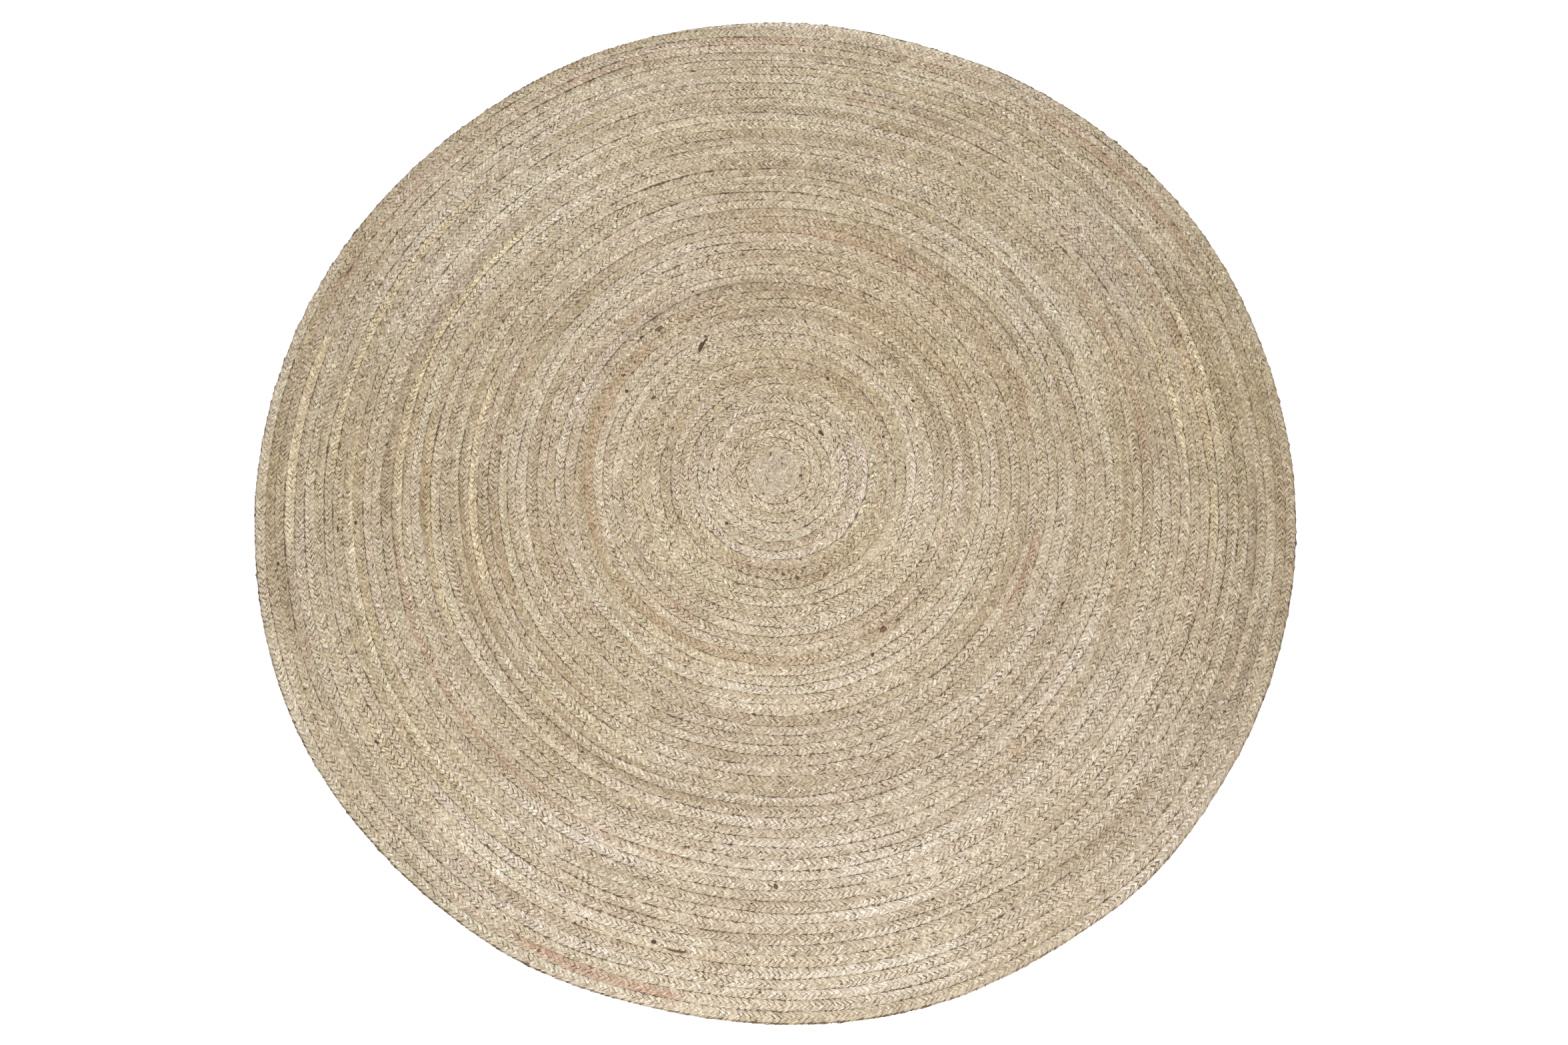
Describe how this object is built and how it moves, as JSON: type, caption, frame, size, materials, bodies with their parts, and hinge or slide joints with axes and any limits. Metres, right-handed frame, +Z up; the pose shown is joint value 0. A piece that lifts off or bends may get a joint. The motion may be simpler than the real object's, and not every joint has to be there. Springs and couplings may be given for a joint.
{
  "type": "round jute rug",
  "caption": "Round flat floor rug of plaited jute, one braid coiled edge to edge from the centre and sewn along its seams.",
  "frame": {"origin": "centre of the coil on the flat underside", "axes": "+Z up out of the rug's upper face; +X to the viewer's right and +Y away from a viewer looking down at the rug"},
  "size_m": [1.4959, 1.4996, 0.008],
  "materials": {
    "jute_braid": "plaited natural jute fibre, matt with a faint straw sheen, uneven beige to greyish tan"
  },
  "bodies": {
    "root": {"rug": "jute_braid"}
  },
  "joints": []
}
